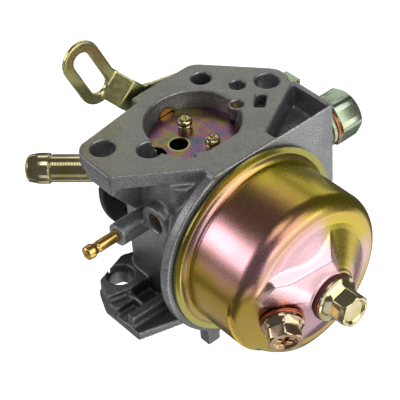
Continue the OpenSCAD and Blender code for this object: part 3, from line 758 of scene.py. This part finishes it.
# ---------------------------------------------------------------- bolts, plugs and stubs
def bolts():
    """Bowl bolt and drain bolt, each with its washer."""
    seat_x = box_mm("bowl_bolt_washer")[1][0]
    seat = (seat_x, 0, BOWL_Z)
    head_h = box_mm("bowl_bolt")[1][0] - seat_x
    flat = np.ones(HEX_STEPS)
    rings = [(flat * 3.0, flat * h) for h in (-12.6, -0.01)]
    rings += bolt_head(10, head_h, 7.6, 3.9, 0.26)
    place("bolt_bowl", *loft(rings, seat, (1, 0, 0)), "bowl_bolt", 35)
    rings = [(flat * 3.0, flat * h) for h in (-7.0, -0.01)]
    rings += bolt_head(10, 7, 6.6, 3.4, 0.5, 2.2)
    drain = place("bolt_drain", *loft(rings, DRAIN_AT + 1.2 * DRAIN_N, DRAIN_N), "drain_bolt", 35)
    brown = plain_metal("zinc_brown", (0.62, 0.40, 0.22), 0.14, 0.15, tint=(0.78, 0.60, 0.42))
    drain.data.materials[0] = brown
    ring = rounded([(3.15, 0), (8.1, 0), (8.1, 1.2), (3.15, 1.2)], 0.3)
    place("washer_bowl", *lathe(ring, (SEAT_X, 0, BOWL_Z), (1, 0, 0)), "bowl_bolt_washer", 60)
    ring = rounded([(3.15, 0), (6.9, 0), (6.9, 1.2), (3.15, 1.2)], 0.35)
    place("washer_drain", *lathe(ring, DRAIN_AT, DRAIN_N), "drain_washer", 60)


def stubs():
    """Fuel inlet tube and vent nipple."""
    # fuel inlet: barbed end and one groove, then a finely ringed tube down to the casting
    way = np.array([-1, -1, 0]) / math.sqrt(2)
    start = np.array([-11, -17.3, 46.5])
    tube_wall = []
    for h in np.arange(25.2, 1.0, -0.5):
        tube_wall += [(4.5, h), (4.47, h - 0.25)]
    barb = [(2.4, 33.6), (3.3, 33.6), (4.3, 32.9), (4.5, 32.0), (4.9, 30.0), (4.95, 29.4),
            (4.95, 26.1), (4.35, 25.9), (4.35, 25.6)]
    profile = rounded(barb + tube_wall + [(4.5, 0.0), (2.4, 0.0)], 0.22)
    place("inlet_stub", *lathe(profile[::-1], start, way, 96), "fuel_inlet", 40)
    lo, hi = box_mm("vent_nipple")
    cx, cz = (lo[0] + hi[0]) / 2, (lo[2] + hi[2]) / 2
    length = hi[1] - lo[1]
    # radius, and depth below the tip
    nipple = [(0.8, 0.6), (1.0, 0), (1.85, 0), (2.3, 0.5), (2.35, 2.7), (1.9, 3.3), (1.72, 3.7),
              (1.72, 4.3), (1.9, 4.7), (1.9, length), (0.8, length)]
    profile = rounded([(r, length - depth) for r, depth in nipple], 0.15)
    place("vent_stub", *lathe(profile[::-1], (cx, hi[1], cz), (0, -1, 0), 64), "vent_nipple", 40)


def hex_fuel_plug():
    """Large hexagon plug and its washer."""
    lo, hi = box_mm("hex_plug")
    x, z = (lo[0] + hi[0]) / 2, (lo[2] + hi[2]) / 2
    wlo, whi = box_mm("plug_washer")
    seat = whi[1]
    h = hi[1] - seat
    ang, flat = even_angles(HEX_STEPS)
    hexr = hex_radius(ang, 15, math.radians(22 - 90), 0.3)
    rings = [(flat * 4, flat * (lo[1] - seat)), (flat * 4, flat * -0.01)]
    rings += [(np.minimum(hexr, 7.2), flat * 0.0), (hexr - 0.15, flat * 0.35), (hexr, flat * 0.6)]
    crown = lambda r: h - np.maximum(0, r - 7.1) * 0.75
    rings += [(hexr, crown(hexr) - 0.25), (hexr - 0.08, crown(hexr) - 0.05)]
    mid = np.minimum(hexr, 7.12)
    rings += [((hexr + mid) / 2, crown((hexr + mid) / 2)), (np.minimum(hexr - 0.2, 6.95), flat * h)]
    for r, drop in ((5.2, 0), (4.9, 0.12), (2.5, 0.2), (0.05, 0.2)):
        rings.append((flat * r, flat * (h - drop)))
    place("plug_hex", *loft(rings, (x, seat, z), (0, 1, 0), (0, 0, 1)), "hex_plug", 30)
    ring = rounded([(4.1, 0), (7.6, 0), (7.6, 1.2), (4.1, 1.2)], 0.3)
    place("plug_seal", *lathe(ring, (x, wlo[1], z), (0, 1, 0)), "plug_washer", 60)


def choke_hardware():
    """The two plate screws, each with a plain and a split spring washer."""
    lo, hi = box_mm("choke_screw_washers")
    top = hi[2]
    y = (lo[1] + hi[1]) / 2
    parts, rings_parts = [], []
    flat = np.ones(SCREW_STEPS)
    for x, turn in ((lo[0] + 2.3, 0.5), (hi[0] - 2.3, 1.1)):
        shank = [(flat * 1.25, flat * v) for v in (-5.0, -0.01)]
        parts.append(loft(shank + screw_top(2.4, 2.0, turn), (x, y, top), (0, 0, 1), (1, 0, 0)))
        # split spring washer on a plain one
        plain = rounded([(1.45, 0.02), (2.3, 0.02), (2.3, 0.6), (1.45, 0.6)], 0.12, 2)
        rings_parts.append(lathe(plain, (x, y, top - 1.8), (0, 0, 1), 48))
        a = np.linspace(0.25, 2 * math.pi - 0.05, 60) + turn
        rise = top - 0.62 + 0.16 * (a - a[0]) / 6.2 - 0.08
        path = np.stack([x + 1.85 * np.cos(a), y + 1.85 * np.sin(a), rise], 1)
        rings_parts.append(tube(path, 0.42))
    place("screws_choke", *joined(*parts), "choke_screws", 35)
    place("washers_choke", *joined(*rings_parts), "choke_screw_washers", 50)


def spring_along(name, node, axis, turns):
    """A coil spring that fills a CAD node's box along an axis."""
    wire = 0.3  # its radius
    lo, hi = box_mm(node)
    mid = (lo + hi) / 2
    across = [k for k in range(3) if k != axis]
    radius = (hi[across[0]] - lo[across[0]]) / 2 - wire
    a = np.linspace(0, 2 * math.pi * turns, int(turns * 28))
    path = np.zeros((len(a), 3))
    path[:, across[0]] = mid[across[0]] + radius * np.cos(a)
    path[:, across[1]] = mid[across[1]] + radius * np.sin(a)
    path[:, axis] = np.linspace(lo[axis] + wire, hi[axis] - wire, len(a))
    place(name, *tube(path, wire), node, 60)


def soften(name, node, voxel, rounds):
    """A copy of a CAD node with eased edges."""
    mesh, co = remeshed(node, voxel, rounds)
    adopt(name, write_points(mesh, co), node, smooth=180)


def ease_edges(node, width):
    """Thin worn bevel on a CAD node's sharp edges."""
    obj = NODES[node]
    weld = obj.modifiers.new("weld", "WELD")
    weld.merge_threshold = 0.000005
    bevel = obj.modifiers.new("bevel", "BEVEL")
    bevel.width = width * MM
    bevel.segments = 2
    bevel.limit_method = "ANGLE"
    bevel.angle_limit = math.radians(40)


casting()
bowl()
bolts()
stubs()
hex_fuel_plug()
choke_hardware()
spring_along("coil_mixture", "mixture_spring", 1, 2)
spring_along("coil_idle", "idle_spring", 2, 5)
soften("lever_choke", "choke_lever", 0.22, 9)
soften("lever_throttle", "throttle_lever", 0.3, 5)
soften("bracket_plug", "plug_bracket", 0.22, 5)
for name in ("choke_plate", "throttle_plate", "bowl_gasket", "throttle_lever_nut", "pilot_jet"):
    ease_edges(name, 0.12)


# ---------------------------------------------------------------- floor, lights, camera
def floor():
    """Pale floor well below the part, kept out of the metal's reflections."""
    mesh = bpy.data.meshes.new("floor")
    size, z = 6.0, -0.09
    corners = [(-size, -size, z), (size, -size, z), (size, size, z), (-size, size, z)]
    mesh.from_pydata(corners, [], [(0, 1, 2, 3)])
    obj = bpy.data.objects.new("floor", mesh)
    bpy.context.collection.objects.link(obj)
    s = Shader("floor", Base_Color=(0.8, 0.8, 0.8, 1), Roughness=0.9)
    s.bsdf.inputs["Emission Color"].default_value = (1, 1, 1, 1)
    s.bsdf.inputs["Emission Strength"].default_value = 0.92
    obj.data.materials.append(s.mat)
    obj.visible_glossy = False
    obj.visible_shadow = False


LIGHT_AIM = Vector((0.02, 0, 0.035))  # middle of the object, in metres


def softbox(name, azimuth, elevation, distance, size, level):
    """Area light of a given brightness that shines at the object from a direction in degrees."""
    az, el = math.radians(azimuth), math.radians(elevation)
    way = Vector((math.cos(az) * math.cos(el), math.sin(az) * math.cos(el), math.sin(el)))
    data = bpy.data.lights.new(name, "AREA")
    data.shape = "RECTANGLE"
    data.size, data.size_y = size
    data.energy = level * math.pi * size[0] * size[1]
    obj = bpy.data.objects.new(name, data)
    obj.location = LIGHT_AIM + way * distance
    obj.rotation_euler = way.to_track_quat("Z", "Y").to_euler()
    obj.visible_camera = False
    bpy.context.collection.objects.link(obj)


def camera():
    """Looks down on the object from the bowl side, turned a little about its own axis."""
    azimuth, elevation, roll = (math.radians(v) for v in (52.5, 41.5, -5.0))
    right = Vector((math.cos(azimuth), math.sin(azimuth), 0))
    level = math.cos(elevation)
    back = Vector((math.sin(azimuth) * level, -math.cos(azimuth) * level, math.sin(elevation)))
    up = back.cross(right)
    turned_right = right * math.cos(roll) + up * math.sin(roll)
    turned_up = up * math.cos(roll) - right * math.sin(roll)
    data = bpy.data.cameras.new("camera")
    data.sensor_width = 36.0
    data.lens = 135.0
    data.clip_start, data.clip_end = 0.01, 50.0
    obj = bpy.data.objects.new("camera", data)
    turn = Matrix((turned_right, turned_up, back)).transposed().to_4x4()
    obj.matrix_world = Matrix.Translation((0.289486, -0.221942, 0.351693)) @ turn
    bpy.context.collection.objects.link(obj)
    bpy.context.scene.camera = obj


def world():
    """Faint even light, which is what dark reflections show."""
    w = bpy.data.worlds.new("studio")
    bpy.context.scene.world = w
    w.use_nodes = True
    w.node_tree.nodes["Background"].inputs["Color"].default_value = (1, 1, 1, 1)
    w.node_tree.nodes["Background"].inputs["Strength"].default_value = 0.09


LIGHTS = [  # name, azimuth, elevation, distance, size, brightness
    ("key_wide", -130, 24, 0.82, (0.62, 0.48), 0.8),  # broad highlight on the left of the bowl
    ("key_core", -130, 25, 0.80, (0.36, 0.30), 1.5),  # its bright middle
    ("back_left", 127, 13, 0.8, (0.52, 0.32), 0.8),  # sheen on the right of the bowl
    ("back_top", 142, 41, 0.8, (0.44, 0.26), 0.95),  # grey of the intake face
    ("zenith", -45, 77, 0.8, (0.40, 0.36), 1.7),  # line along the tubes and the lever
    ("front_low", -48, -24, 0.8, (0.36, 0.36), 0.55),  # lower side of the tubes
    ("rear", 178, 2, 0.8, (0.5, 0.4), 1.0),  # the side that faces away
    ("left_low", -125, -12, 0.8, (0.60, 0.26), 0.4),  # left side of the casting
    ("left_floor", -140, -46, 0.8, (0.8, 0.4), 0.4),  # lower left of the casting and bowl
    ("front_floor", -32, -52, 0.8, (0.45, 0.2), 0.45),  # bowl end round the drain bolt
    ("under", -10, -82, 0.8, (0.6, 0.6), 0.5),  # drain facet
    ("wedge_low", -8, -37, 0.76, (0.30, 0.24), 1.8),  # lower face of the wedge
    ("wedge_top", 14, 46, 0.8, (0.56, 0.36), 1.6),  # upper face of the wedge
    ("right_edge", 12, 24, 0.77, (0.9, 0.24), 1.7),  # bright line inside the shoulder
    ("right_wide", 10, 0, 0.8, (1.1, 0.8), 0.85),  # end of the bowl
    ("right_floor", 40, -40, 0.8, (1.1, 0.6), 0.92),  # valley of the bowl end
]

floor()
for light in LIGHTS:
    softbox(*light)
camera()
world()
bpy.context.scene.view_settings.view_transform = "Standard"
